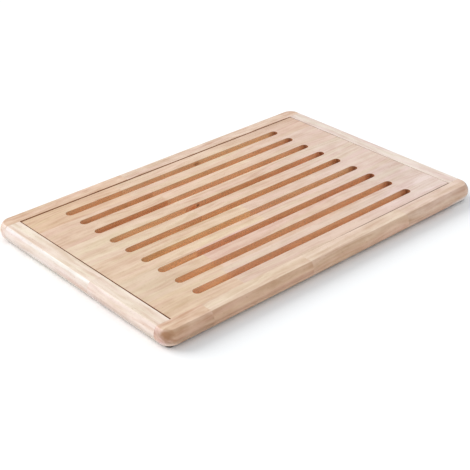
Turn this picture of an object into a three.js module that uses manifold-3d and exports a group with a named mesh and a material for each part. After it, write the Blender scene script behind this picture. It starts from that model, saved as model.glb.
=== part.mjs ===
// Slotted bread board with a crumb tray.
// A shallow wooden tray, framed by four rails, holds a lift-out slotted cutting insert.
// Crumbs fall through nine long slots into the cavity between the insert and a thin floor panel.
// Units are millimetres, +Z is up, and the origin is the middle of the footprint on the surface it stands on.
// The insert and the rails are made of finger-jointed wood, so each stave and rail is a row of glued blocks.
import * as THREE from "three";
import { mergeVertices } from "three/addons/utils/BufferGeometryUtils.js";
import Module from "manifold-3d";

const wasm = await Module();
wasm.setup();

// ---------- driving dimensions ----------
// outside of the board
const LENGTH = 475; // along X
const WIDTH = 323.5; // along Y
const BODY_H = 19.5; // height of the wooden rails
const CORNER_R = 16; // plan radius of the four corners, at mid height
const CROWN = 4.5; // how far the sides bulge at mid height, beyond their top and bottom arrises
const SIDE_STEPS = 14;
const CORNER_STEPS = 10;

// feet
const FOOT_H = 3;
const FOOT_D = 10;
const FOOT_INSET = 12.5; // from both outer faces to the foot's centre
const FOOT_CHAMFER = 0.5;
const FOOT_SIDES = 24;

// frame
const RAIL_W = 21.25; // width of a rail at mid height
const LEDGE_W = 8; // ledge that carries the insert, inside the rail
const LEDGE_TOP = 12.5; // height of the ledge above the surface
const GROOVE_D = 6; // depth of the groove that holds the floor panel
const PANEL_T = 3;
const PANEL_Z = 5; // underside of the floor panel
const PANEL_PLAY = 0.5; // room for the panel at the bottom of each groove

// end-to-end glue lines of the rails
const FRONT_JOINTS = [-176.2, -35.3, 119.1]; // along X
const BACK_JOINTS = [-61.6]; // along X
const LEFT_JOINTS = [-25.3]; // along Y

// dowels of the corner joints
const DOWEL_R = 3;
const DOWEL_LEN = 20;
const DOWEL_HOLE_R = 3.25;
const DOWEL_HOLE_LEN = 21;
const DOWEL_CHAMFER = 0.8;
const DOWEL_SIDES = 16;
const DOWEL_Z = 10;
const DOWEL_X = [221.25, 229.5]; // distance of the two dowels from the middle

// lift-out insert
const INSERT_X = [-214.7, 215.7];
const INSERT_Y = [-140, 139];
const INSERT_T = 9.5;
const STAVE_EDGES = [-100.75, -50.5, -0.3, 49.9, 100.05]; // edge glue lines, along Y
const STAVE_NAMES = ["a", "b", "c", "d", "e", "f"]; // from the back to the front
const STAVE_JOINTS = [-83.5, -58.8, -54.9, -5.4, -110.5, -116.6]; // end glue line of each stave, along X, from the back

// slots
const SLOT_COUNT = 9;
const SLOT_PITCH = 29.35;
const SLOT_W = 10.75;
const SLOT_LEN = 335.4;
const SLOT_CENTRE_X = 0.5;
const SLOT_CENTRE_Y = -0.5;
const SLOT_STEPS = 8; // facets of each round slot end

// ---------- derived heights and limits ----------
const BODY_Z = FOOT_H;
const TOP_Z = BODY_Z + BODY_H;
const OUT_X = LENGTH / 2;
const OUT_Y = WIDTH / 2;
const WALL_X = OUT_X - RAIL_W; // inner face of a short rail above the ledge
const WALL_Y = OUT_Y - RAIL_W; // inner face of a long rail above the ledge
const LEDGE_X = WALL_X - LEDGE_W;
const LEDGE_Y = WALL_Y - LEDGE_W;
const INSERT_Z = LEDGE_TOP;

// ---------- solids ----------
function solid(geometry) {
  const bare = geometry.clone();
  bare.deleteAttribute("normal");
  bare.deleteAttribute("uv");
  const merged = mergeVertices(bare, 1e-4);
  const index = merged.index.array;
  const tris = [];
  for (let i = 0; i < index.length; i += 3) {
    const [a, b, c] = [index[i], index[i + 1], index[i + 2]];
    if (a !== b && b !== c && c !== a) tris.push(a, b, c);
  }
  return new wasm.Manifold(
    new wasm.Mesh({
      numProp: 3,
      vertProperties: new Float32Array(merged.attributes.position.array),
      triVerts: new Uint32Array(tris),
    }),
  );
}

function geometryOf(manifold) {
  const mesh = manifold.getMesh();
  const position = new Float32Array(mesh.numVert * 3);
  for (let i = 0; i < mesh.numVert; i++)
    for (let k = 0; k < 3; k++)
      position[3 * i + k] = mesh.vertProperties[i * mesh.numProp + k];
  const geometry = new THREE.BufferGeometry();
  geometry.setAttribute("position", new THREE.BufferAttribute(position, 3));
  geometry.setIndex(new THREE.BufferAttribute(new Uint32Array(mesh.triVerts), 1));
  geometry.computeVertexNormals();
  return geometry;
}

function box(x0, x1, y0, y1, z0, z1) {
  const g = new THREE.BoxGeometry(x1 - x0, y1 - y0, z1 - z0);
  g.translate((x0 + x1) / 2, (y0 + y1) / 2, (z0 + z1) / 2);
  return solid(g);
}

// A rectangle with round corners, as a closed outline of points at one height.
function roundedRectangle(hx, hy, r, z) {
  const points = [];
  for (const [cx, cy, start] of [
    [hx - r, hy - r, 0],
    [r - hx, hy - r, 1],
    [r - hx, r - hy, 2],
    [hx - r, r - hy, 3],
  ])
    for (let i = 0; i <= CORNER_STEPS; i++) {
      const a = (start + i / CORNER_STEPS) * (Math.PI / 2);
      points.push([cx + r * Math.cos(a), cy + r * Math.sin(a), z]);
    }
  return points;
}

// A closed body through a stack of convex outlines, from the lowest to the highest.
function loft(outlines) {
  const n = outlines[0].length;
  const index = [];
  for (let k = 0; k + 1 < outlines.length; k++)
    for (let i = 0; i < n; i++) {
      const [a, b] = [k * n + i, k * n + ((i + 1) % n)];
      index.push(a, b, b + n, a, b + n, a + n);
    }
  const top = (outlines.length - 1) * n;
  for (let i = 1; i + 1 < n; i++) {
    index.push(0, i + 1, i);
    index.push(top, top + i, top + i + 1);
  }
  const g = new THREE.BufferGeometry();
  g.setAttribute(
    "position",
    new THREE.Float32BufferAttribute(outlines.flat(2), 3),
  );
  g.setIndex(index);
  return solid(g);
}

// The outer form of the board: a slab with round corners, whose sides bulge in a shallow arc all round.
function slab() {
  const half = BODY_H / 2;
  const radius = (CROWN * CROWN + half * half) / (2 * CROWN);
  const reach = Math.asin(half / radius);
  const levels = []; // inset from the outside, and height
  for (let i = 0; i <= SIDE_STEPS; i++) {
    const a = reach * ((2 * i) / SIDE_STEPS - 1);
    levels.push([
      radius * (1 - Math.cos(a)),
      BODY_Z + half + radius * Math.sin(a),
    ]);
  }
  return loft(
    levels.map(([d, z]) =>
      roundedRectangle(OUT_X - d, OUT_Y - d, CORNER_R - d, z),
    ),
  );
}

// One slot with round ends, taller than the insert.
function slotCutter(y) {
  const r = SLOT_W / 2;
  const h = SLOT_LEN / 2 - r;
  const s = new THREE.Shape();
  s.moveTo(-h, -r);
  s.lineTo(h, -r);
  s.absarc(h, 0, r, -Math.PI / 2, Math.PI / 2, false);
  s.lineTo(-h, r);
  s.absarc(-h, 0, r, Math.PI / 2, 1.5 * Math.PI, false);
  const g = new THREE.ExtrudeGeometry(s, {
    depth: INSERT_T + 10,
    bevelEnabled: false,
    curveSegments: SLOT_STEPS,
    steps: 1,
  });
  g.translate(SLOT_CENTRE_X, y, INSERT_Z - 5);
  return solid(g);
}

// A round pin whose axis is Y, with chamfered ends.
function pin(radius, length, chamfer) {
  const c = chamfer;
  const h = length / 2;
  const p = [
    [0, -h],
    [radius - c, -h],
    [radius, -h + c],
    [radius, h - c],
    [radius - c, h],
    [0, h],
  ].map(([x, y]) => new THREE.Vector2(x, y));
  return new THREE.LatheGeometry(p, DOWEL_SIDES);
}

// ---------- materials ----------
const wood = (color) =>
  new THREE.MeshStandardMaterial({ color, roughness: 0.62, metalness: 0 });
const RAIL_WOODS = [0xe3c9aa, 0xe9d3b4, 0xdfc3a6, 0xe6cfb2];
const STAVE_WOODS = [0xe2c3a0, 0xe7cdb0, 0xe4cbb2, 0xe0c5a8, 0xe8d2b8, 0xe3c8ae];
const DOWEL_WOOD = 0xd8b88e;
const PANEL_WOOD = 0xdcbf98;
const FOOT_RUBBER = 0x2b2623;

const board = new THREE.Group();
const tray = new THREE.Group();
const insert = new THREE.Group();
board.add(tray, insert);

function add(group, name, geometry, material, place) {
  const mesh = new THREE.Mesh(geometry, material);
  mesh.name = name;
  if (place) mesh.position.set(...place);
  group.add(mesh);
  return mesh;
}

// ---------- frame rails ----------
const outer = slab();
let dowelHoles = null;
for (const x of DOWEL_X)
  for (const sx of [-1, 1])
    for (const sy of [-1, 1]) {
      const g = new THREE.CylinderGeometry(
        DOWEL_HOLE_R,
        DOWEL_HOLE_R,
        DOWEL_HOLE_LEN,
        DOWEL_SIDES,
      );
      g.translate(sx * x, sy * WALL_Y, DOWEL_Z);
      const hole = solid(g);
      dowelHoles = dowelHoles ? dowelHoles.add(hole) : hole;
    }

// A block of a long rail between x0 and x1; side is -1 at the front and 1 at the back.
function longRail(side, x0, x1) {
  const [ya, yb] = side > 0 ? [WALL_Y, OUT_Y + 5] : [-OUT_Y - 5, -WALL_Y];
  let s = box(x0, x1, ya, yb, BODY_Z - 5, TOP_Z + 5);
  const lx0 = Math.max(x0, -LEDGE_X);
  const lx1 = Math.min(x1, LEDGE_X);
  if (lx1 > lx0) {
    const [la, lb] = side > 0 ? [LEDGE_Y, WALL_Y + 4] : [-WALL_Y - 4, -LEDGE_Y];
    s = s.add(box(lx0, lx1, la, lb, BODY_Z - 5, LEDGE_TOP));
    const [ga, gb] =
      side > 0
        ? [LEDGE_Y - 5, LEDGE_Y + GROOVE_D]
        : [-LEDGE_Y - GROOVE_D, -LEDGE_Y + 5];
    s = s.subtract(box(lx0 - 5, lx1 + 5, ga, gb, PANEL_Z, PANEL_Z + PANEL_T));
  }
  return s.intersect(outer).subtract(dowelHoles);
}

// A block of a short rail between y0 and y1; side is -1 at the left and 1 at the right.
function shortRail(side, y0, y1) {
  const [xa, xb] = side > 0 ? [WALL_X, OUT_X + 5] : [-OUT_X - 5, -WALL_X];
  const [la, lb] = side > 0 ? [LEDGE_X, WALL_X + 4] : [-WALL_X - 4, -LEDGE_X];
  const [ga, gb] =
    side > 0
      ? [LEDGE_X - 5, LEDGE_X + GROOVE_D]
      : [-LEDGE_X - GROOVE_D, -LEDGE_X + 5];
  return box(xa, xb, y0, y1, BODY_Z - 5, TOP_Z + 5)
    .add(box(la, lb, y0, y1, BODY_Z - 5, LEDGE_TOP))
    .subtract(box(ga, gb, y0 - 5, y1 + 5, PANEL_Z, PANEL_Z + PANEL_T))
    .intersect(outer)
    .subtract(dowelHoles);
}

// Splits a span at its glue lines.
function spans(low, high, joints) {
  const ends = [low, ...joints, high];
  return ends.slice(1).map((end, i) => [ends[i], end]);
}

spans(-OUT_X - 5, OUT_X + 5, FRONT_JOINTS).forEach(([x0, x1], i) =>
  add(
    tray,
    "front_rail_block_" + (i + 1),
    geometryOf(longRail(-1, x0, x1)),
    wood(RAIL_WOODS[i % 4]),
  ),
);
spans(-OUT_X - 5, OUT_X + 5, BACK_JOINTS).forEach(([x0, x1], i) =>
  add(
    tray,
    "back_rail_block_" + (i + 1),
    geometryOf(longRail(1, x0, x1)),
    wood(RAIL_WOODS[(i + 2) % 4]),
  ),
);
spans(-WALL_Y, WALL_Y, LEFT_JOINTS).forEach(([y0, y1], i) =>
  add(
    tray,
    "left_rail_block_" + (i + 1),
    geometryOf(shortRail(-1, y0, y1)),
    wood(RAIL_WOODS[(i + 1) % 4]),
  ),
);
add(
  tray,
  "right_rail",
  geometryOf(shortRail(1, -WALL_Y, WALL_Y)),
  wood(RAIL_WOODS[0]),
);

// ---------- floor panel ----------
{
  const hx = LEDGE_X + GROOVE_D - PANEL_PLAY;
  const hy = LEDGE_Y + GROOVE_D - PANEL_PLAY;
  add(
    tray,
    "floor_panel",
    new THREE.BoxGeometry(2 * hx, 2 * hy, PANEL_T),
    wood(PANEL_WOOD),
    [0, 0, PANEL_Z + PANEL_T / 2],
  );
}

// ---------- corner dowels ----------
for (const [sy, row] of [
  [-1, "front"],
  [1, "back"],
])
  for (const [sx, side] of [
    [-1, "left"],
    [1, "right"],
  ])
    DOWEL_X.forEach((x, i) =>
      add(
        tray,
        "dowel_" + row + "_" + side + "_" + (i === 0 ? "inner" : "outer"),
        pin(DOWEL_R, DOWEL_LEN, DOWEL_CHAMFER),
        wood(DOWEL_WOOD),
        [sx * x, sy * WALL_Y, DOWEL_Z],
      ),
    );

// ---------- feet ----------
function foot() {
  const r = FOOT_D / 2;
  const p = [
    [0, 0],
    [r - FOOT_CHAMFER, 0],
    [r, FOOT_CHAMFER],
    [r, FOOT_H],
    [0, FOOT_H],
  ].map(([x, y]) => new THREE.Vector2(x, y));
  const g = new THREE.LatheGeometry(p, FOOT_SIDES);
  g.rotateX(Math.PI / 2);
  return g;
}
for (const [sy, row] of [
  [-1, "front"],
  [1, "back"],
])
  for (const [sx, side] of [
    [-1, "left"],
    [1, "right"],
  ])
    add(
      tray,
      "foot_" + row + "_" + side,
      foot(),
      new THREE.MeshStandardMaterial({
        color: FOOT_RUBBER,
        roughness: 0.85,
        metalness: 0,
      }),
      [sx * (OUT_X - FOOT_INSET), sy * (OUT_Y - FOOT_INSET), 0],
    );

// ---------- slotted insert ----------
const slotYs = Array.from(
  { length: SLOT_COUNT },
  (_, i) => SLOT_CENTRE_Y + ((SLOT_COUNT - 1) / 2 - i) * SLOT_PITCH,
);
const slots = slotYs.map(slotCutter);
const rows = spans(INSERT_Y[0], INSERT_Y[1], STAVE_EDGES).reverse(); // from the back
rows.forEach(([y0, y1], row) =>
  spans(INSERT_X[0], INSERT_X[1], [STAVE_JOINTS[row]]).forEach(
    ([x0, x1], i) => {
      let s = box(x0, x1, y0, y1, INSERT_Z, INSERT_Z + INSERT_T);
      slots.forEach((cut, k) => {
        if (slotYs[k] + SLOT_W / 2 > y0 && slotYs[k] - SLOT_W / 2 < y1)
          s = s.subtract(cut);
      });
      add(
        insert,
        "insert_stave_" + STAVE_NAMES[row] + (i === 0 ? "_left" : "_right"),
        geometryOf(s),
        wood(STAVE_WOODS[(2 * row + i) % 6]),
      );
    },
  ),
);

export default board;
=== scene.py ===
import math

import bmesh
import bpy
from mathutils import Matrix, Vector


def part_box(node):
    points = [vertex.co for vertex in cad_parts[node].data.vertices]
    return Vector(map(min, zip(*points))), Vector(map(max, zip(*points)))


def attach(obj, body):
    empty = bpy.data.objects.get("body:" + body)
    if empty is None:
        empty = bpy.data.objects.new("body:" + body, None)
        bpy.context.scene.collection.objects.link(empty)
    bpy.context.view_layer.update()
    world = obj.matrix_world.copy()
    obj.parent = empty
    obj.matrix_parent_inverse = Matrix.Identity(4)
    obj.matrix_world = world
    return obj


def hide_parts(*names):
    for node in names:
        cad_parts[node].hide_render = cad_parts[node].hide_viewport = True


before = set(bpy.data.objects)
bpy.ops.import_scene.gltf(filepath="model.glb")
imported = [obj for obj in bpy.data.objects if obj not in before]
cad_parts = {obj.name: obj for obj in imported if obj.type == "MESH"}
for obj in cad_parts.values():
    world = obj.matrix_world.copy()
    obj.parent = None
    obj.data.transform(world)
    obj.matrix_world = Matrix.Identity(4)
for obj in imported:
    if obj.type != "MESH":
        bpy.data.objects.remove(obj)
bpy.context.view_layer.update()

# ---------------------------------------------------------------- sizes, in millimetres, as in the CAD
MM = 0.001
LENGTH, WIDTH = 475.0, 323.5
CORNER_R, CROWN, BRINK = 16.0, 4.5, 1.0
BOTTOM_Z, TOP_Z = 3.0, 22.5
WALL_X, WALL_Y = 216.25, 140.5
LEDGE_X, LEDGE_Y, LEDGE_TOP = 208.25, 132.5, 12.5
GROOVE_X, GROOVE_Y = 214.25, 138.5
PANEL_Z, PANEL_T = 5.0, 3.0
FRONT_JOINTS = [-176.2, -35.3, 119.1]
BACK_JOINTS = [-61.6]
LEFT_JOINTS = [-25.3]
DOWEL_X, DOWEL_Z, HOLE_R, HOLE_L = [221.25, 229.5], 10.0, 3.25, 21.0
INSERT = [-214.7, 215.7, -140.0, 139.0]
INSERT_Z = [12.5, 22.0]
STAVE_Y = [139.0, 100.05, 49.9, -0.3, -50.5, -100.75, -140.0]
STAVE_X = [-83.5, -58.8, -54.9, -5.4, -110.5, -116.6]
SLOT_PITCH, SLOT_R, SLOT_HALF, SLOT_MID_X, SLOT_MID_Y = 29.35, 5.375, 167.7, 0.5, -0.5
INSERT_TURN = 0.002  # the loose insert lies a trace askew in the recess, in radians
FOOT_AT, FOOT_R, FOOT_H = (225.0, 149.25), 5.0, 3.0


# ---------------------------------------------------------------- mesh tools
def collect(verts, faces, name):
    me = bpy.data.meshes.new(name)
    me.from_pydata([(x * MM, y * MM, z * MM) for x, y, z in verts], [], faces)
    bm = bmesh.new()
    bm.from_mesh(me)
    bmesh.ops.recalc_face_normals(bm, faces=bm.faces)
    bm.to_mesh(me)
    bm.free()
    ob = bpy.data.objects.new(name, me)
    bpy.context.scene.collection.objects.link(ob)
    return ob


def loft(loops, name):
    """A closed body through a stack of loops, each a list of (x, y, z) with the same count."""
    n = len(loops[0])
    verts = [p for loop in loops for p in loop]
    faces = [tuple(reversed(range(n))), tuple(range((len(loops) - 1) * n, len(loops) * n))]
    for k in range(len(loops) - 1):
        for i in range(n):
            j = (i + 1) % n
            faces.append((k * n + i, k * n + j, (k + 1) * n + j, (k + 1) * n + i))
    return collect(verts, faces, name)


def round_rect(x0, x1, y0, y1, r, n, z):
    out = []
    for cx, cy, a0 in ((x1 - r, y1 - r, 0), (x0 + r, y1 - r, 90), (x0 + r, y0 + r, 180), (x1 - r, y0 + r, 270)):
        for k in range(n + 1):
            a = math.radians(a0 + 90.0 * k / n)
            out.append((cx + r * math.cos(a), cy + r * math.sin(a), z))
    return out


def stadium(cx, cy, half, r, n, z):
    out = []
    for ex, a0 in ((cx + half, -90), (cx - half, 90)):
        for k in range(n + 1):
            a = math.radians(a0 + 180.0 * k / n)
            out.append((ex + r * math.cos(a), cy + r * math.sin(a), z))
    return out


def prism(points, z0, z1, name):
    return loft([[(x, y, z0) for x, y in points], [(x, y, z1) for x, y in points]], name)


def box(x0, x1, y0, y1, z0, z1, name):
    return prism([(x0, y0), (x1, y0), (x1, y1), (x0, y1)], z0, z1, name)


def cylinder_y(cx, cy, cz, r, length, n, name):
    loops = []
    for y in (cy - length / 2, cy + length / 2):
        loops.append([(cx + r * math.cos(2 * math.pi * k / n), y, cz + r * math.sin(2 * math.pi * k / n)) for k in range(n)])
    return loft(loops, name)


def join(objects, name):
    bm = bmesh.new()
    for ob in objects:
        bm.from_mesh(ob.data)
    me = bpy.data.meshes.new(name)
    bm.to_mesh(me)
    bm.free()
    for ob in objects:
        bpy.data.objects.remove(ob)
    ob = bpy.data.objects.new(name, me)
    bpy.context.scene.collection.objects.link(ob)
    return ob


def boolean(a, b, how, drop=True):
    """a becomes a minus b, or what a and b share."""
    m = a.modifiers.new("cut", "BOOLEAN")
    m.operation = how
    m.solver = "EXACT"
    m.object = b
    bpy.context.view_layer.update()
    dg = bpy.context.evaluated_depsgraph_get()
    me = bpy.data.meshes.new_from_object(a.evaluated_get(dg))
    a.modifiers.clear()
    a.data = me
    if drop:
        bpy.data.objects.remove(b)
    return a


def part_of(whole, cutter, name):
    ob = bpy.data.objects.new(name, whole.data.copy())
    bpy.context.scene.collection.objects.link(ob)
    return boolean(ob, cutter, "INTERSECT")


def finish_mesh(ob, angle=33.0):
    me = ob.data
    bm = bmesh.new()
    bm.from_mesh(me)
    bmesh.ops.remove_doubles(bm, verts=bm.verts, dist=1e-7)
    bmesh.ops.dissolve_degenerate(bm, dist=1e-7, edges=bm.edges)
    bmesh.ops.recalc_face_normals(bm, faces=bm.faces)
    for f in bm.faces:
        f.smooth = True
    limit = math.radians(angle)
    for e in bm.edges:
        e.smooth = len(e.link_faces) == 2 and e.calc_face_angle(0.0) < limit
    bm.to_mesh(me)
    bm.free()
    w = ob.modifiers.new("normals", "WEIGHTED_NORMAL")
    w.mode = "FACE_AREA"
    w.keep_sharp = True
    return ob


# ---------------------------------------------------------------- frame of four rails
def side_profile(n, m):
    """Upper half of a side that bulges in a shallow arc, with a lightly eased brink: inward offsets and heights above the middle."""
    half = (TOP_Z - BOTTOM_Z) / 2
    r = (CROWN * CROWN + half * half) / (2 * CROWN)
    up = half - BRINK
    run = math.sqrt((r - BRINK) ** 2 - up * up)
    turn = math.atan2(up, run)
    out = [(r - r * math.cos(turn * k / n), r * math.sin(turn * k / n)) for k in range(n + 1)]
    for k in range(1, m + 1):
        a = turn + (math.pi / 2 - turn) * k / m
        out.append((r - run - BRINK * math.cos(a), up + BRINK * math.sin(a)))
    return out


MID_Z = (TOP_Z + BOTTOM_Z) / 2
upper = side_profile(14, 5)
levels = [(d, MID_Z - h) for d, h in reversed(upper[1:])] + [(d, MID_Z + h) for d, h in upper]
ring = loft([round_rect(-LENGTH / 2 + d, LENGTH / 2 - d, -WIDTH / 2 + d, WIDTH / 2 - d, CORNER_R - d, 28, z) for d, z in levels], "ring")

EASE = 0.35
recess = []
recess.append([(s * (WALL_X), t * (WALL_Y), LEDGE_TOP) for s, t in ((1, -1), (1, 1), (-1, 1), (-1, -1))])
for k in range(5):
    a = math.pi / 2 * k / 4
    off, z = EASE * (1 - math.cos(a)), TOP_Z - EASE + EASE * math.sin(a)
    recess.append([(s * (WALL_X + off), t * (WALL_Y + off), z) for s, t in ((1, -1), (1, 1), (-1, 1), (-1, -1))])
recess.append([(x, y, TOP_Z + 2) for x, y, z in recess[-1]])
boolean(ring, loft(recess, "recess"), "DIFFERENCE")
boolean(ring, box(-LEDGE_X, LEDGE_X, -LEDGE_Y, LEDGE_Y, 0, 30, "opening"), "DIFFERENCE")
boolean(ring, box(-GROOVE_X, GROOVE_X, -GROOVE_Y, GROOVE_Y, PANEL_Z, PANEL_Z + PANEL_T, "groove"), "DIFFERENCE")
holes = [cylinder_y(sx * x, sy * WALL_Y, DOWEL_Z, HOLE_R, HOLE_L, 32, "hole") for sx in (-1, 1) for x in DOWEL_X for sy in (-1, 1)]
boolean(ring, join(holes, "holes"), "DIFFERENCE")

BUTT = 0.09   # half of the hairline left in a corner joint
SEAM = 0.02   # half of the hairline left between blocks of one rail
WIDE = 400.0
rail_pieces = {}


def long_rail(joints, side, label):
    edges = [-WIDE] + joints + [WIDE]
    for k in range(len(edges) - 1):
        x0, x1 = edges[k] + (SEAM if k else 0), edges[k + 1] - (SEAM if k + 2 < len(edges) else 0)
        a0, a1 = max(x0, -LEDGE_X + BUTT), min(x1, LEDGE_X - BUTT)
        yo, yw, yi = side * WIDE, side * (WALL_Y + BUTT), side * (LEDGE_Y - 1)
        if x0 < -LEDGE_X:
            points = [(x0, yo), (x1, yo), (x1, yi), (a0, yi), (a0, yw), (x0, yw)]
        elif x1 > LEDGE_X:
            points = [(x0, yo), (x1, yo), (x1, yw), (a1, yw), (a1, yi), (x0, yi)]
        else:
            points = [(x0, yo), (x1, yo), (x1, yi), (x0, yi)]
        name = f"{label}_block_{k + 1}"
        rail_pieces[name] = part_of(ring, prism(points, 0, 30, "cutter"), name + "_wood")


long_rail(FRONT_JOINTS, -1, "front_rail")
long_rail(BACK_JOINTS, 1, "back_rail")
ends = [-WALL_Y + BUTT] + LEFT_JOINTS + [WALL_Y - BUTT]
for k in range(2):
    y0, y1 = ends[k] + (SEAM if k else 0), ends[k + 1] - (SEAM if k == 0 else 0)
    name = f"left_rail_block_{k + 1}"
    rail_pieces[name] = part_of(ring, box(-WIDE, -LEDGE_X - 0.005, y0, y1, 0, 30, "cutter"), name + "_wood")
rail_pieces["right_rail"] = part_of(ring, box(LEDGE_X + 0.005, WIDE, -WALL_Y + BUTT, WALL_Y - BUTT, 0, 30, "cutter"), "right_rail_wood")
bpy.data.objects.remove(ring)

# ---------------------------------------------------------------- insert with nine slots, in twelve blocks
IX0, IX1, IY0, IY1 = INSERT
IZ0, IZ1 = INSERT_Z
ARRIS = 0.3


def eased_levels(z0, z1, r, n):
    """(inward offset, z) up a wall with both edges rounded by r."""
    out = [(r - r * math.sin(math.pi / 2 * k / n), z0 + r - r * math.cos(math.pi / 2 * k / n)) for k in range(n + 1)]
    return out + [(d, z1 - (z - z0)) for d, z in reversed(out)]


turn_c, turn_s = math.cos(INSERT_TURN), math.sin(INSERT_TURN)
slab = loft([[(x * turn_c - y * turn_s, x * turn_s + y * turn_c, z) for x, y, z in round_rect(IX0 + d, IX1 - d, IY0 + d, IY1 - d, 1.0 - d, 5, z)]
             for d, z in eased_levels(IZ0, IZ1, ARRIS, 4)], "slab")
cutters = []
for k in range(9):
    cy = SLOT_MID_Y + (4 - k) * SLOT_PITCH
    levels = eased_levels(IZ0, IZ1, ARRIS, 4)
    rings = [stadium(SLOT_MID_X, cy, SLOT_HALF - SLOT_R, SLOT_R + d, 28, z) for d, z in levels]
    rings = [[(x, y, IZ0 - 1) for x, y, z in rings[0]]] + rings + [[(x, y, IZ1 + 1) for x, y, z in rings[-1]]]
    cutters.append(loft(rings, "slot"))
boolean(slab, join(cutters, "slots"), "DIFFERENCE")

stave_pieces = {}
for k, letter in enumerate("abcdef"):
    y1, y0 = (WIDE if k == 0 else STAVE_Y[k]), (-WIDE if k == 5 else STAVE_Y[k + 1])
    for x0, x1, side in ((-WIDE, STAVE_X[k], "left"), (STAVE_X[k], WIDE, "right")):
        name = f"insert_stave_{letter}_{side}"
        stave_pieces[name] = part_of(slab, box(x0, x1, y0, y1, 0, 30, "cutter"), name + "_wood")
bpy.data.objects.remove(slab)

# ---------------------------------------------------------------- floor panel and feet
panel = loft([round_rect(-213.75 + d, 213.75 - d, -138.0 + d, 138.0 - d, 1.5 - d, 4, z) for d, z in eased_levels(PANEL_Z, PANEL_Z + PANEL_T, 0.25, 3)], "floor_panel_ply")


def foot(cx, cy, name):
    """A turned rubber button: chamfered rim, slightly hollow sole."""
    profile = [(0.0, 0.45), (1.6, 0.45), (2.3, 0.35), (2.75, 0.1), (3.1, 0.0), (4.2, 0.0), (4.55, 0.07), (4.82, 0.25), (4.95, 0.5), (5.0, 0.8), (5.0, 2.6), (4.95, 2.85), (4.8, 3.0), (0.0, 3.0)]
    n = 48
    verts, faces, rows = [], [], []
    for r, z in profile:
        if r == 0.0:
            rows.append([len(verts)])
            verts.append((cx, cy, z))
        else:
            rows.append(list(range(len(verts), len(verts) + n)))
            verts += [(cx + r * math.cos(2 * math.pi * k / n), cy + r * math.sin(2 * math.pi * k / n), z) for k in range(n)]
    for a, b in zip(rows, rows[1:]):
        for i in range(n):
            j = (i + 1) % n
            if len(a) == 1:
                faces.append((a[0], b[i], b[j]))
            elif len(b) == 1:
                faces.append((a[i], b[0], a[j]))
            else:
                faces.append((a[i], a[j], b[j], b[i]))
    return collect(verts, faces, name)


feet = {}
for sy, fb in ((-1, "front"), (1, "back")):
    for sx, lr in ((-1, "left"), (1, "right")):
        name = f"foot_{fb}_{lr}"
        feet[name] = foot(sx * FOOT_AT[0], sy * FOOT_AT[1], name + "_pad")


# ---------------------------------------------------------------- materials
class Tree:
    """Short words for making nodes."""

    def __init__(self, tree):
        self.t = tree

    def node(self, kind, **props):
        n = self.t.nodes.new(kind)
        for k, v in props.items():
            setattr(n, k, v)
        return n

    def put(self, socket, value):
        if isinstance(value, bpy.types.NodeSocket):
            self.t.links.new(value, socket)
        elif value is not None:
            socket.default_value = value

    def math(self, op, a, b=None, c=None, clamp=False):
        n = self.node("ShaderNodeMath", operation=op, use_clamp=clamp)
        for s, v in zip(n.inputs, (a, b, c)):
            self.put(s, v)
        return n.outputs[0]

    def vec(self, op, a, b=None, scale=None):
        n = self.node("ShaderNodeVectorMath", operation=op)
        self.put(n.inputs[0], a)
        self.put(n.inputs[1], b)
        if scale is not None:
            self.put(n.inputs["Scale"], scale)
        return n.outputs["Value"] if op in ("LENGTH", "DOT_PRODUCT", "DISTANCE") else n.outputs["Vector"]

    def split(self, v):
        n = self.node("ShaderNodeSeparateXYZ")
        self.put(n.inputs[0], v)
        return n.outputs[0], n.outputs[1], n.outputs[2]

    def xyz(self, x, y, z):
        n = self.node("ShaderNodeCombineXYZ")
        for s, v in zip(n.inputs, (x, y, z)):
            self.put(s, v)
        return n.outputs[0]

    def noise(self, v, detail=2.0, rough=0.5, distortion=0.0, out=0):
        n = self.node("ShaderNodeTexNoise", noise_dimensions="3D")
        self.put(n.inputs["Vector"], v)
        n.inputs["Scale"].default_value = 1.0
        n.inputs["Detail"].default_value = detail
        n.inputs["Roughness"].default_value = rough
        n.inputs["Distortion"].default_value = distortion
        return n.outputs[out]

    def voronoi(self, v, random=1.0):
        n = self.node("ShaderNodeTexVoronoi", voronoi_dimensions="3D", feature="F1")
        self.put(n.inputs["Vector"], v)
        n.inputs["Scale"].default_value = 1.0
        n.inputs["Randomness"].default_value = random
        return n.outputs["Distance"], n.outputs["Color"]

    def smooth(self, v, a, b, lo=0.0, hi=1.0):
        n = self.node("ShaderNodeMapRange", interpolation_type="SMOOTHSTEP")
        for s, x in zip(n.inputs, (v, a, b, lo, hi)):
            self.put(s, x)
        return n.outputs[0]

    def linear(self, v, a, b, lo=0.0, hi=1.0):
        n = self.node("ShaderNodeMapRange", interpolation_type="LINEAR", clamp=True)
        for s, x in zip(n.inputs, (v, a, b, lo, hi)):
            self.put(s, x)
        return n.outputs[0]

    def mix(self, f, a, b, blend="MIX"):
        n = self.node("ShaderNodeMix", data_type="RGBA", blend_type=blend, clamp_factor=True)
        self.put(n.inputs[0], f)
        self.put(n.inputs[6], a)
        self.put(n.inputs[7], b)
        return n.outputs[2]


def rgb(r, g, b):
    return (r, g, b, 1.0)


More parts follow.
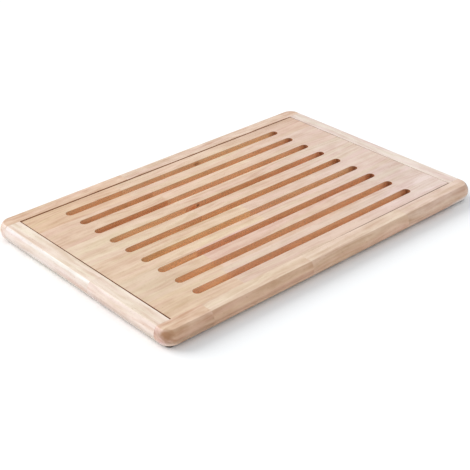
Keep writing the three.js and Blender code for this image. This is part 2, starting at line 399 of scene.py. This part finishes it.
def wood_group():
    """Wood in grain coordinates, millimetres: u along the fibres, v and w across them. Gives a colour, a roughness and a height."""
    g = bpy.data.node_groups.new("wood_grain", "ShaderNodeTree")
    face = g.interface
    for name, kind in (("Grain", "NodeSocketVector"), ("Pith", "NodeSocketVector"), ("End", "NodeSocketFloat"), ("Edge wear and highlight", "NodeSocketFloat"),
                       ("Cut walls and painted bounce", "NodeSocketFloat"), ("Light", "NodeSocketColor"), ("Dark", "NodeSocketColor"), ("Edge wear and highlight tint", "NodeSocketColor"),
                       ("Ring width", "NodeSocketFloat"), ("Rings", "NodeSocketFloat"), ("Streaks", "NodeSocketFloat"), ("Pores", "NodeSocketFloat")):
        face.new_socket(name, in_out="INPUT", socket_type=kind)
    for name, kind in (("Color", "NodeSocketColor"), ("Roughness", "NodeSocketFloat"), ("Height", "NodeSocketFloat")):
        face.new_socket(name, in_out="OUTPUT", socket_type=kind)
    t = Tree(g)
    i = t.node("NodeGroupInput").outputs
    o = t.node("NodeGroupOutput").inputs
    p = i["Grain"]
    # fibres wander slowly along the length
    slow = t.vec("SUBTRACT", t.noise(t.vec("MULTIPLY", p, (1 / 130, 1 / 55, 1 / 55)), 1.0, 0.5, out=1), (0.5, 0.5, 0.5))
    quick = t.vec("SUBTRACT", t.noise(t.vec("MULTIPLY", p, (1 / 26, 1 / 10, 1 / 10)), 2.0, 0.5, out=1), (0.5, 0.5, 0.5))
    q = t.vec("ADD", p, t.vec("MULTIPLY", slow, (0.0, 22.0, 22.0)))
    q = t.vec("ADD", q, t.vec("MULTIPLY", quick, (0.0, 2.4, 2.4)))
    # growth rings round a pith beside the block
    rel = t.vec("MULTIPLY", t.vec("SUBTRACT", q, i["Pith"]), (0.0, 1.0, 1.0))
    turn = t.math("DIVIDE", t.vec("LENGTH", rel), i["Ring width"])
    turn = t.math("ADD", turn, t.math("MULTIPLY", t.noise(t.xyz(t.math("MULTIPLY", turn, 0.55), 0.3, 0.7), 1.0), 1.6))
    frac = t.math("FRACT", turn)
    ring = t.math("MULTIPLY", t.smooth(frac, 0.0, 0.75), t.smooth(frac, 0.8, 1.0, 1.0, 0.0))
    number = t.math("FLOOR", turn)
    vary = t.noise(t.xyz(t.math("MULTIPLY", number, 7.31), 0.5, 0.5), 0.0)
    # streaks of several widths along the fibres, and soft patches
    broad = t.noise(t.vec("MULTIPLY", q, (1 / 210, 1 / 12, 1 / 12)), 2.0, 0.5)
    mid = t.noise(t.vec("MULTIPLY", q, (1 / 62, 1 / 3.6, 1 / 3.6)), 2.0, 0.55)
    thin = t.noise(t.vec("MULTIPLY", q, (1 / 30, 1 / 1.5, 1 / 1.5)), 2.0, 0.55)
    fine = t.noise(t.vec("MULTIPLY", q, (1 / 9, 1 / 0.5, 1 / 0.5)), 2.0, 0.55)
    cloud = t.noise(t.vec("MULTIPLY", p, (1 / 24, 1 / 13, 1 / 13)), 2.0, 0.5)
    hue = t.noise(t.vec("MULTIPLY", q, (1 / 120, 1 / 8, 1 / 8)), 1.0, 0.5, out=1)
    # pores: short dark dashes along the fibres, dots on end grain
    d1, c1 = t.voronoi(t.vec("MULTIPLY", q, (1 / 5.5, 1 / 0.75, 1 / 0.75)))
    keep = t.split(c1)[0]
    pore = t.math("MULTIPLY", t.smooth(d1, 0.10, 0.27, 1.0, 0.0), t.smooth(keep, 0.35, 0.75))
    d2, c2 = t.voronoi(t.vec("MULTIPLY", q, (1 / 12.0, 1 / 1.9, 1 / 1.9)))
    vessel = t.math("MULTIPLY", t.smooth(d2, 0.05, 0.16, 1.0, 0.0), t.smooth(t.split(c2)[1], 0.45, 0.85))
    # darkness along the mix from light to dark wood
    dark = t.math("MULTIPLY", t.math("MULTIPLY", t.math("SUBTRACT", ring, 0.42), i["Rings"]), t.linear(vary, 0.3, 0.7, 0.2, 1.5))
    dark = t.math("MULTIPLY", dark, t.linear(cloud, 0.35, 0.62, 0.25, 1.3))
    for tex, amount in ((broad, 1.5), (mid, 1.0), (thin, 0.55), (fine, 0.4), (cloud, 1.3)):
        dark = t.math("ADD", dark, t.math("MULTIPLY", t.math("MULTIPLY", t.math("SUBTRACT", tex, 0.5), amount), i["Streaks"]))
    dark = t.math("ADD", dark, 0.42, clamp=True)
    colour = t.mix(dark, i["Light"], i["Dark"])
    # bands that lean to pink or to straw
    lean = t.vec("SUBTRACT", hue, (0.5, 0.5, 0.5))
    hr = t.split(lean)[0]
    colour = t.mix(1.0, colour, t.xyz(t.math("MULTIPLY_ADD", hr, 0.05, 1.0), t.math("MULTIPLY_ADD", hr, -0.10, 1.0), t.math("MULTIPLY_ADD", hr, 0.08, 1.0)), "MULTIPLY")
    marks = t.math("MULTIPLY", t.math("ADD", t.math("MULTIPLY", pore, 0.34), t.math("MULTIPLY", vessel, 0.5)), i["Pores"], clamp=True)
    colour = t.mix(marks, colour, rgb(0.27, 0.15, 0.085))
    # walls left by the cutter are rougher and take a warm orange tint, painted bounce light and shade between the slot
    # walls; end grain drinks the oil, so it is darker still; eased edges change a little: darker wear on the insert, a
    # lighter painted highlight along the rails' arris
    cut = t.mix(1.0, colour, rgb(1.26, 1.02, 0.74), "MULTIPLY")
    colour = t.mix(i["Cut walls and painted bounce"], colour, cut)
    soak = t.math("MULTIPLY", i["End"], t.linear(t.noise(t.vec("MULTIPLY", p, (1 / 3.0, 1 / 3.2, 1 / 4.5)), 3.0, 0.6), 0.3, 0.62, 0.6, 1.0))
    end = t.mix(1.0, colour, rgb(0.50, 0.36, 0.28), "MULTIPLY")
    colour = t.mix(soak, colour, end)
    # eased edges: darker wear on the insert, a lighter painted highlight along the rails' arris
    worn = t.mix(1.0, colour, i["Edge wear and highlight tint"], "MULTIPLY")
    colour = t.mix(t.math("MULTIPLY", i["Edge wear and highlight"], t.linear(cloud, 0.35, 0.6, 0.5, 1.0)), colour, worn)
    rough = t.math("ADD", 0.40, t.math("MULTIPLY", mid, 0.14))
    rough = t.math("ADD", rough, t.math("MULTIPLY", marks, 0.22))
    rough = t.math("ADD", rough, t.math("MULTIPLY", i["End"], 0.14))
    rough = t.math("ADD", rough, t.math("MULTIPLY", i["Cut walls and painted bounce"], 0.16))
    height = t.math("MULTIPLY", fine, 0.55)
    height = t.math("SUBTRACT", height, t.math("MULTIPLY", marks, 1.6))
    height = t.math("ADD", height, t.math("MULTIPLY", thin, 0.5))
    for s, v in ((o["Color"], colour), (o["Roughness"], rough), (o["Height"], height)):
        t.put(s, v)
    return g


GROUP = wood_group()
HASH = [0.0]


def chance(seed, k):
    """A fixed number from 0 to 1 for a seed."""
    x = math.sin(seed * 127.1 + k * 311.7) * 43758.5453
    return x - math.floor(x)


def wood(name, seed, light, dark, along="X", rings=0.35, ring_width=4.4, streaks=1.0, pores=1.0, pith=None, slope=0.0, spots_and_painted_light=(), cut=0.0, worn=(0.95, 0.92, 0.89), soak=1.0, side_tone_and_painted_light=(), slots=(), gap_shade=None, drift=None):
    """A block's own piece of wood. slope darkens it along the fibres, per 100 mm; cut is how far its side walls show
    the cutter's work, with their painted warm bounce light and painted shade; each spot is a knot or streak at a place,
    or a pale patch of painted floor-bounce light.
    """
    m = bpy.data.materials.new(name)
    m.use_nodes = True
    tree = m.node_tree
    tree.nodes.clear()
    t = Tree(tree)
    tc = t.node("ShaderNodeTexCoord")
    x, y, z = t.split(t.vec("SCALE", tc.outputs["Object"], scale=1000.0))
    nx, ny, nz = t.split(tc.outputs["Normal"])
    u, v, nu = (x, y, nx) if along == "X" else (y, x, ny)
    shift = (900.0 * chance(seed, 1), 700.0 * chance(seed, 2), 500.0 * chance(seed, 3))
    grain = t.vec("ADD", t.xyz(u, v, z), shift)
    if pith is None:
        side = 1 if chance(seed, 4) > 0.5 else -1
        pith = (0.0, side * (25 + 60 * chance(seed, 5)), -(15 + 60 * chance(seed, 6)))
    box_lo, box_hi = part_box(name)
    c = (box_lo + box_hi) / 2 * 1000
    centre = (c.x, c.y, c.z) if along == "X" else (c.y, c.x, c.z)
    at = tuple(centre[k] + shift[k] + pith[k] for k in range(3))
    end = t.math("MULTIPLY", t.smooth(t.math("ABSOLUTE", nu), 0.4, 0.9), soak)
    most = t.math("MAXIMUM", t.math("MAXIMUM", t.math("ABSOLUTE", nx), t.math("ABSOLUTE", ny)), t.math("ABSOLUTE", nz))
    # eased edges: wear on the insert; on the rails, the band between top and side that carries a painted highlight
    edge_wear_and_highlight = t.smooth(most, 0.99, 0.8) if cut else t.math("MULTIPLY", t.smooth(nz, 0.5, 0.8), t.smooth(nz, 0.995, 0.96))
    gr = t.node("ShaderNodeGroup", node_tree=GROUP)
    lightened = rgb(*light)
    darkened = rgb(*dark)
    # slot walls: the cutter's rougher finish, plus the painted warm bounce light and shade
    walls = t.math("MULTIPLY", t.smooth(t.math("ABSOLUTE", nz), 0.8, 0.4), cut)
    for k, val in (("Grain", grain), ("Pith", at), ("End", end), ("Edge wear and highlight", edge_wear_and_highlight), ("Cut walls and painted bounce", walls), ("Light", lightened), ("Dark", darkened),
                   ("Edge wear and highlight tint", rgb(*worn)), ("Ring width", ring_width), ("Rings", rings), ("Streaks", streaks), ("Pores", pores)):
        t.put(gr.inputs[k], val)
    colour = gr.outputs["Color"]
    height = gr.outputs["Height"]
    if slope:
        along_u = t.linear(t.math("SUBTRACT", u, centre[0]), -150.0, 150.0, -1.0, 1.0)
        factor = t.math("SUBTRACT", 1.0, t.math("MULTIPLY", along_u, slope * 1.5))
        colour = t.mix(1.0, colour, t.xyz(factor, factor, factor), "MULTIPLY")
    if cut:
        # painted shade: the walls of a slot darken towards the brink, and more at their right tips
        brink = t.linear(z, 15.0, 21.6, 1.0, 0.80)
        tip = t.math("MULTIPLY", t.smooth(x, 156.0, 166.0), walls)
        colour = t.mix(tip, colour, t.mix(1.0, colour, rgb(0.74, 0.62, 0.55), "MULTIPLY"))
        colour = t.mix(walls, colour, t.mix(1.0, colour, t.xyz(brink, t.math("MULTIPLY", brink, 0.985), t.math("MULTIPLY", brink, 0.97)), "MULTIPLY"))
    if drift is not None:
        (x0, x1), near_slots, outer = drift
        along_x = t.linear(x, x0, x1)
        turn = t.xyz(*[t.math("MULTIPLY_ADD", along_x, b - a, a) for a, b in zip(near_slots, outer)])
        colour = t.mix(t.math("SUBTRACT", 1.0, walls), colour, t.mix(1.0, colour, turn, "MULTIPLY"))
    for slot_y, tint in slots:
        near = t.math("MULTIPLY", t.smooth(t.math("ABSOLUTE", t.math("SUBTRACT", y, slot_y)), 8.5, 7.0), walls)
        colour = t.mix(near, colour, t.mix(1.0, colour, rgb(*tint), "MULTIPLY"))
    # painted light and shade by facing: a face turned one way gets its own tint, partly its own tone; steps over its
    # height paint a darker lower half in shade, a lighter foot lit from the floor, and a brighter arris as a highlight
    for axis, sign, n0, n1, tint, ramp in side_tone_and_painted_light:
        facing = t.smooth(t.math("MULTIPLY", nx if axis == "x" else ny, float(sign)), n0, n1)
        level = list(tint)
        for z0, z1, f0, f1 in ramp:
            for k in range(3):
                a, b = (f[k] if isinstance(f, tuple) else f for f in (f0, f1))
                level[k] = t.math("MULTIPLY", level[k], t.smooth(z, z0, z1, a, b))
        colour = t.mix(facing, colour, t.mix(1.0, colour, t.xyz(*level), "MULTIPLY"))
    if gap_shade is not None:
        # painted shade: the wood down in the gap between frame and insert is darkened where shade falls, and a painted
        # shadow line runs along the front rail's inner brink on the right
        (gx, gy, inward), tint = gap_shade
        if inward > 0:
            dx = t.math("SUBTRACT", t.math("ABSOLUTE", x), gx)
            dy = t.math("SUBTRACT", t.math("ABSOLUTE", y), gy)
            above = t.smooth(z, 9.0, 12.0)
            gap_shade_mask = t.math("MULTIPLY", t.math("MULTIPLY", t.smooth(dx, 0.25, 0.0), t.smooth(dy, 0.25, 0.0)), above)
            gap_line_shade = t.math("MULTIPLY", t.math("MULTIPLY", t.smooth(dy, 0.8, 0.4), t.smooth(dx, 0.25, 0.0)), t.math("MULTIPLY", t.smooth(x, 10.0, 70.0), t.smooth(y, 0.0, -10.0)))
            colour = t.mix(t.math("MULTIPLY", t.math("MULTIPLY", gap_line_shade, above), 0.6), colour, rgb(0.20, 0.12, 0.08))
        else:
            # in the insert's own directions, as it lies a trace askew
            ox = t.math("SUBTRACT", t.math("ADD", x, t.math("MULTIPLY", y, INSERT_TURN)), 0.5)
            oy = t.math("ADD", t.math("SUBTRACT", y, t.math("MULTIPLY", x, INSERT_TURN)), 0.5)
            gap_shade_mask = t.smooth(t.math("MAXIMUM", t.math("SUBTRACT", t.math("ABSOLUTE", ox), gx), t.math("SUBTRACT", t.math("ABSOLUTE", oy), gy)), -0.3, 0.0)
            # painted shadow line along the insert's front edge on the right, where the gap is open
            gap_line_shade = t.math("MULTIPLY", t.smooth(t.math("ADD", oy, gy), 0.9, 0.4), t.smooth(x, 10.0, 70.0))
            colour = t.mix(t.math("MULTIPLY", gap_line_shade, 0.75), colour, rgb(0.20, 0.12, 0.08))
        colour = t.mix(gap_shade_mask, colour, t.mix(1.0, colour, rgb(*tint), "MULTIPLY"))
    # spots: knots and streaks in the wood, and pale patches of painted floor-bounce light low on the front rail's ends
    for (sx, sy, sz), (ax, ay, az), tint, amount, wobble in spots_and_painted_light:
        away = t.vec("DIVIDE", t.vec("SUBTRACT", t.xyz(x, y, z), (sx, sy, sz)), (ax, ay, az))
        wob = t.noise(t.vec("MULTIPLY", t.xyz(x, y, z), (1 / 5, 1 / 2.5, 1 / 2.5)), 3.0, 0.6)
        r = t.math("ADD", t.vec("LENGTH", away), t.math("MULTIPLY", t.math("SUBTRACT", wob, 0.5), wobble))
        f = t.math("MULTIPLY", t.smooth(r, 0.25, 1.0, 1.0, 0.0), amount)
        colour = t.mix(f, colour, rgb(*tint))
    bump = t.node("ShaderNodeBump")
    bump.inputs["Strength"].default_value = 0.55
    bump.inputs["Distance"].default_value = 0.00009
    t.put(bump.inputs["Height"], height)
    b = t.node("ShaderNodeBsdfPrincipled")
    t.put(b.inputs["Base Color"], colour)
    t.put(b.inputs["Roughness"], gr.outputs["Roughness"])
    b.inputs["IOR"].default_value = 1.45
    b.inputs["Specular IOR Level"].default_value = 0.42
    t.put(b.inputs["Normal"], bump.outputs["Normal"])
    out = t.node("ShaderNodeOutputMaterial")
    t.put(out.inputs["Surface"], b.outputs["BSDF"])
    m.diffuse_color = lightened
    return m


def tone(level=1.0, tan=0.0, pink=0.0, contrast=1.0):
    """Light and dark wood for a block: level is how pale it is, tan and pink turn the hue."""
    r, g, b = 0.755, 0.590, 0.468
    r, g, b = r * level * (1 + 0.01 * pink), g * level * (1 - 0.05 * tan - 0.02 * pink), b * level * (1 - 0.15 * tan + 0.02 * pink)
    k = 0.21 * contrast
    return (r, g, b), (r * (1 - k), g * (1 - 1.4 * k), b * (1 - 1.7 * k))


# a block's shades paint light and shade on its faces by facing and height: darker front faces and right end, darker
# lower bands, lighter feet, and highlights along the left ends' arris, partly the faces' own tone
BLOCKS = {
    # name: (seed, level, tan, pink, contrast, extra)
    "front_rail_block_1": (11, 1.060, 0.66, 1.01, 1.50, {"side_tone_and_painted_light": [("y", -1, 0.45, 0.62, (0.89, 0.81, 0.72), [(9.0, 14.5, 0.85, 1.0), (4.0, 9.0, 1.35, 1.0), (15.5, 19.0, 0.92, (1.06, 1.09, 1.15))]),
                                                                    ("x", -1, 0.35, 0.85, (0.75, 0.715, 0.78), [(18.5, 22.0, 1.0, (1.30, 1.36, 1.44)), (11.0, 17.0, (1.38, 1.44, 1.54), 1.0), (5.0, 11.0, (1.06, 1.22, 1.36), 1.0)])],
                                                          # the first spot is a pale patch of painted floor-bounce light
                                                          # low on the corner; the second is the end grain's brown patch
                                                          "spots_and_painted_light": [((-231.0, -156.0, 3.0), (17.0, 15.0, 7.5), (0.86, 0.69, 0.60), 0.6, 0.5),
                                                                    ((-232.3, -155.6, 18.3), (9.5, 9.5, 8.5), (0.37, 0.18, 0.085), 0.88, 0.6)]}),
    "front_rail_block_2": (12, 1.064, 0.02, -0.74, 1.00, {"side_tone_and_painted_light": [("y", -1, 0.45, 0.62, (0.96, 0.81, 0.72), [(10.0, 15.0, (0.75, 0.68, 0.66), 0.935), (6.0, 11.0, (1.42, 1.60, 1.68), 1.0)])]}),
    "front_rail_block_3": (13, 1.022, 0.03, -0.21, 1.10, {"side_tone_and_painted_light": [("y", -1, 0.45, 0.62, (0.97, 0.86, 0.79), [(5.0, 21.0, 1.06, 0.99)])]}),
    "front_rail_block_4": (14, 1.010, -0.22, 0.41, 1.50, {"side_tone_and_painted_light": [("y", -1, 0.45, 0.62, (0.98, 0.91, 0.85), [(5.0, 21.0, 1.06, 0.99), (4.0, 9.0, 1.15, 1.0)]), ("x", 1, 0.2, 0.85, (0.56, 0.58, 0.70), [(7.0, 14.0, 1.5, 1.0)])],
                                                            # a pale patch of painted floor-bounce light along the lower
                                                            # front face near the right end
                                                            "spots_and_painted_light": [((226.0, -161.0, 4.0), (48.0, 16.0, 8.0), (0.95, 0.92, 0.88), 0.65, 0.5)]}),
    "back_rail_block_1": (15, 1.082, 0.69, 0.63, 1.80, {"side_tone_and_painted_light": [("x", -1, 0.3, 0.7, (1.0, 1.15, 1.38), [])],
                                                       "spots_and_painted_light": [((-150.0, 143.5, 22.5), (90.0, 3.2, 6.0), (0.58, 0.36, 0.23), 0.4, 1.0)]}),
    "back_rail_block_2": (16, 1.068, -0.00, 0.42, 1.50, {}),
    "left_rail_block_1": (17, 1.177, -1.24, -0.92, 1.00, {"along": "Y", "side_tone_and_painted_light": [("x", -1, 0.45, 0.62, (0.985, 0.98, 1.03), [(17.5, 20.5, 0.97, (0.88, 0.86, 0.87)), (10.5, 15.5, 0.79, 1.0), (3.5, 7.5, 1.40, 1.0)])],
                                                         "spots_and_painted_light": [((-237.5, -85.0, 12.0), (6.0, 75.0, 4.5), (0.60, 0.40, 0.31), 0.30, 0.8)]}),
    "left_rail_block_2": (18, 1.171, -1.05, -0.93, 0.90, {"along": "Y", "side_tone_and_painted_light": [("x", -1, 0.45, 0.62, (0.96, 1.01, 1.09), [(18.3, 21.3, 0.955, (0.965, 1.05, 1.11)), (9.5, 12.5, 0.88, 1.0), (3.5, 7.0, 1.42, 1.0)])],
                                                         "spots_and_painted_light": [((-237.5, -2.0, 10.5), (6.0, 50.0, 5.5), (0.56, 0.36, 0.27), 0.55, 0.8), ((-231.2, 105.0, 22.5), (1.7, 45.0, 2.0), (0.60, 0.42, 0.30), 0.5, 0.6),
                                                                   ((-236.6, 105.0, 16.5), (6.0, 42.0, 3.4), (0.74, 0.57, 0.48), 0.35, 0.5)]}),
    "right_rail": (19, 1.072, -1.55, -0.35, 0.90, {"along": "Y"}),
    "insert_stave_a_left": (21, 1.003, 1.51, 0.80, 0.95, {}),
    "insert_stave_a_right": (22, 0.996, 0.72, 0.93, 0.90, {"spots_and_painted_light": [((34.0, 122.4, 18.0), (7.0, 2.5, 4.5), (0.40, 0.19, 0.08), 0.7, 0.8)]}),
    "insert_stave_b_left": (23, 1.022, 0.87, 0.71, 1.00, {}),
    "insert_stave_b_right": (24, 1.025, 0.27, 0.75, 0.85, {}),
    "insert_stave_c_left": (25, 1.048, 0.42, -0.44, 0.90, {}),
    "insert_stave_c_right": (26, 1.008, -0.08, 0.28, 0.95, {"spots_and_painted_light": [((-43.0, 34.3, 16.8), (6.5, 2.5, 4.0), (0.78, 0.27, 0.10), 0.75, 0.8), ((-36.4, 34.3, 18.0), (3.2, 2.5, 2.8), (0.16, 0.06, 0.02), 0.82, 0.8)]}),
    "insert_stave_d_left": (27, 1.043, 0.71, -0.18, 1.00, {}),
    "insert_stave_d_right": (28, 0.998, -0.15, 0.60, 0.85, {}),
    "insert_stave_e_left": (29, 0.993, 0.74, 0.11, 0.85, {}),
    "insert_stave_e_right": (30, 0.996, -0.19, 0.91, 0.85, {}),
    "insert_stave_f_left": (31, 0.990, 0.91, 0.10, 0.90, {}),
    "insert_stave_f_right": (32, 0.993, -0.63, 0.69, 0.80, {}),
}

DRIFT = {
    # tint of the top of an insert block beside the slots, and at its outer end
    "a_left": ((1.02, 1.03, 1.06), (0.97, 0.97, 0.95)), "a_right": ((1.04, 1.06, 1.04), (0.94, 0.93, 0.94)),
    "b_left": ((1.00, 0.98, 0.97), (1.00, 1.01, 1.02)), "b_right": ((1.02, 1.00, 0.93), (0.97, 0.98, 1.03)),
    "c_left": ((0.99, 0.97, 0.95), (1.01, 1.03, 1.04)), "c_right": ((1.00, 0.94, 0.87), (1.01, 1.05, 1.09)),
    "d_left": ((1.01, 1.01, 0.99), (0.99, 0.99, 1.00)), "d_right": ((1.01, 0.98, 0.93), (0.99, 1.00, 1.04)),
    "e_left": ((1.03, 1.00, 0.99), (0.97, 0.99, 0.99)), "e_right": ((1.02, 0.96, 0.91), (0.97, 1.01, 1.05)),
    "f_left": ((1.01, 1.00, 1.03), (0.99, 0.99, 0.98)), "f_right": ((0.98, 0.94, 0.87), (1.03, 1.06, 1.11)),
}

WALLS = {
    # wood of one block shows in the walls of one or two slots: slot number and tint
    "a_left": ((1, (1.05, 1.13, 1.26)),), "a_right": ((1, (1.07, 1.20, 1.32)),),
    "b_left": ((2, (1.00, 1.01, 1.05)), (3, (0.97, 0.91, 0.89))), "b_right": ((2, (1.05, 1.09, 1.12)), (3, (1.05, 1.09, 1.13))),
    "c_left": ((4, (1.08, 1.14, 1.24)), (5, (1.03, 1.00, 1.06))), "c_right": ((4, (1.03, 0.96, 0.95)), (5, (1.09, 1.03, 0.99))),
    "d_left": ((6, (1.08, 1.17, 1.24)),), "d_right": ((6, (1.07, 1.13, 1.18)),),
    "e_left": ((7, (1.16, 1.26, 1.36)), (8, (1.12, 1.16, 1.22))), "e_right": ((7, (1.01, 0.95, 0.91)), (8, (1.05, 1.04, 1.03))),
    "f_left": ((9, (1.13, 1.20, 1.39)),), "f_right": ((9, (1.03, 0.99, 0.96)),),
}

for name, ob in list(rail_pieces.items()) + list(stave_pieces.items()):
    seed, level, tan, pink, contrast, extra = BLOCKS[name]
    light, dark = tone(level, tan, pink, contrast)
    finish_mesh(ob)
    inside = name in stave_pieces
    # the gap tints given below are painted shade down in the gap between frame and insert
    ob.data.materials.clear()
    # on the rails the edge tint is a lighter painted highlight along the top arris; on the insert it is darker wear
    ob.data.materials.append(wood(name, seed, light, dark, cut=1.0 if inside else 0.0, worn=(0.95, 0.92, 0.89) if inside else (1.03, 1.04, 1.06), soak=1.0 if inside else 0.0,
                                  slots=[(SLOT_MID_Y + (5 - k) * SLOT_PITCH, tint) for k, tint in WALLS[name[13:]]] if inside else (),
                                  drift=((-110.0, -175.0) if name.endswith("left") else (60.0, 180.0), *DRIFT[name[13:]]) if inside else None,
                                  gap_shade=((215.2, 139.5, -1), (0.68, 0.61, 0.62)) if inside else (None if name == "right_rail" else ((WALL_X, WALL_Y, 1), (0.76, 0.55, 0.42))), **extra))
    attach(ob, "insert" if inside else "tray")
    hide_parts(name)

light, dark = tone(0.93, 1.0, 0.0, 1.2)
finish_mesh(panel)
panel.data.materials.append(wood("floor_panel", 41, light, dark, rings=0.7, ring_width=9.0, streaks=1.1))
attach(panel, "tray")
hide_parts("floor_panel")

for name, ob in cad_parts.items():
    if name.startswith("dowel_"):
        light, dark = tone(0.9, 1.2, 0.0, 1.3)
        m = wood(name, 50 + len(name), light, dark, along="Y", rings=0.6, ring_width=1.6, streaks=1.2)
        for s in ob.material_slots:
            s.material = m


def rubber():
    m = bpy.data.materials.new("rubber")
    m.use_nodes = True
    m.node_tree.nodes.clear()
    t = Tree(m.node_tree)
    tc = t.node("ShaderNodeTexCoord")
    p = t.vec("SCALE", tc.outputs["Object"], scale=1000.0)
    speck = t.noise(t.vec("MULTIPLY", p, (2.2, 2.2, 2.2)), 3.0, 0.6)
    worn = t.noise(t.vec("MULTIPLY", p, (0.35, 0.35, 0.35)), 3.0, 0.6)
    nz = t.split(tc.outputs["Normal"])[2]
    sole = t.smooth(nz, -0.2, -0.9)
    colour = t.mix(t.math("MULTIPLY", worn, 0.6), rgb(0.050, 0.038, 0.034), rgb(0.10, 0.080, 0.070))
    colour = t.mix(t.math("MULTIPLY", sole, t.smooth(worn, 0.45, 0.7)), colour, rgb(0.13, 0.12, 0.11))
    bump = t.node("ShaderNodeBump")
    bump.inputs["Strength"].default_value = 0.6
    bump.inputs["Distance"].default_value = 0.00006
    t.put(bump.inputs["Height"], speck)
    b = t.node("ShaderNodeBsdfPrincipled")
    t.put(b.inputs["Base Color"], colour)
    t.put(b.inputs["Roughness"], t.linear(worn, 0.3, 0.7, 0.55, 0.78))
    b.inputs["IOR"].default_value = 1.5
    t.put(b.inputs["Normal"], bump.outputs["Normal"])
    out = t.node("ShaderNodeOutputMaterial")
    t.put(out.inputs["Surface"], b.outputs["BSDF"])
    return m


RUBBER = rubber()
for name, ob in feet.items():
    finish_mesh(ob, 40.0)
    ob.data.materials.append(RUBBER)
    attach(ob, "tray")
    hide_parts(name)

# ---------------------------------------------------------------- floor, light, camera
floor = bpy.data.objects.new("floor", bpy.data.meshes.new("floor"))
floor.data.from_pydata([(-30, -30, 0), (30, -30, 0), (30, 30, 0), (-30, 30, 0)], [], [(0, 1, 2, 3)])
bpy.context.scene.collection.objects.link(floor)
fm = bpy.data.materials.new("paper")
fm.use_nodes = True
fb = fm.node_tree.nodes["Principled BSDF"]
fb.inputs["Base Color"].default_value = (0.955, 0.962, 0.972, 1)
fb.inputs["Roughness"].default_value = 0.9
fb.inputs["Specular IOR Level"].default_value = 0.0
floor.data.materials.append(fm)

world = bpy.data.worlds.new("studio")
bpy.context.scene.world = world
world.use_nodes = True
wt = Tree(world.node_tree)
world.node_tree.nodes.clear()
bg = wt.node("ShaderNodeBackground")
bg.inputs["Color"].default_value = (0.945, 0.978, 1.0, 1)
path = wt.node("ShaderNodeLightPath")
wt.put(bg.inputs["Strength"], wt.math("MULTIPLY_ADD", path.outputs["Is Camera Ray"], 0.5, 0.778))
wo = wt.node("ShaderNodeOutputWorld")
wt.put(wo.inputs["Surface"], bg.outputs[0])

sun = bpy.data.lights.new("key", "SUN")
sun.energy = 2.15
sun.angle = math.radians(42)
sun.color = (1.0, 0.975, 0.945)
key = bpy.data.objects.new("key", sun)
bpy.context.scene.collection.objects.link(key)
KEY_EL, KEY_AZ = math.radians(33), math.radians(60)
towards = Vector((-math.cos(KEY_EL) * math.cos(KEY_AZ), math.cos(KEY_EL) * math.sin(KEY_AZ), math.sin(KEY_EL)))
key.rotation_mode = "QUATERNION"
key.rotation_quaternion = towards.to_track_quat("Z", "Y")

cam = bpy.data.cameras.new("camera")
cam_ob = bpy.data.objects.new("camera", cam)
bpy.context.scene.collection.objects.link(cam_ob)
bpy.context.scene.camera = cam_ob
CAM_TURN = Vector((1.97005922, -0.769692578, 0.4263229274))
CAM_SHIFT = Vector((-22.27464918, -40.2536025, 1350.167002))
R = Matrix.Rotation(CAM_TURN.length, 3, CAM_TURN.normalized())
place = -(R.transposed() @ CAM_SHIFT) * MM + Vector((0, 0, TOP_Z * MM))
flip = Matrix(((1, 0, 0), (0, -1, 0), (0, 0, -1)))
cam_ob.matrix_world = Matrix.Translation(place) @ (flip @ R).transposed().to_4x4()
cam.sensor_width = 36.0
cam.sensor_fit = "HORIZONTAL"
cam.lens = 1135.989518 * 36.0 / 470.0
cam.shift_x = (235.0 - 258.5) / 470.0
cam.shift_y = (235.5 - 235.0) / 470.0
cam.clip_start, cam.clip_end = 0.05, 100.0

bpy.context.scene.view_settings.view_transform = "Standard"
bpy.context.scene.view_settings.look = "None"
bpy.context.scene.view_settings.exposure = 0.0
bpy.context.scene.view_settings.gamma = 1.0

bpy.context.view_layer.update()
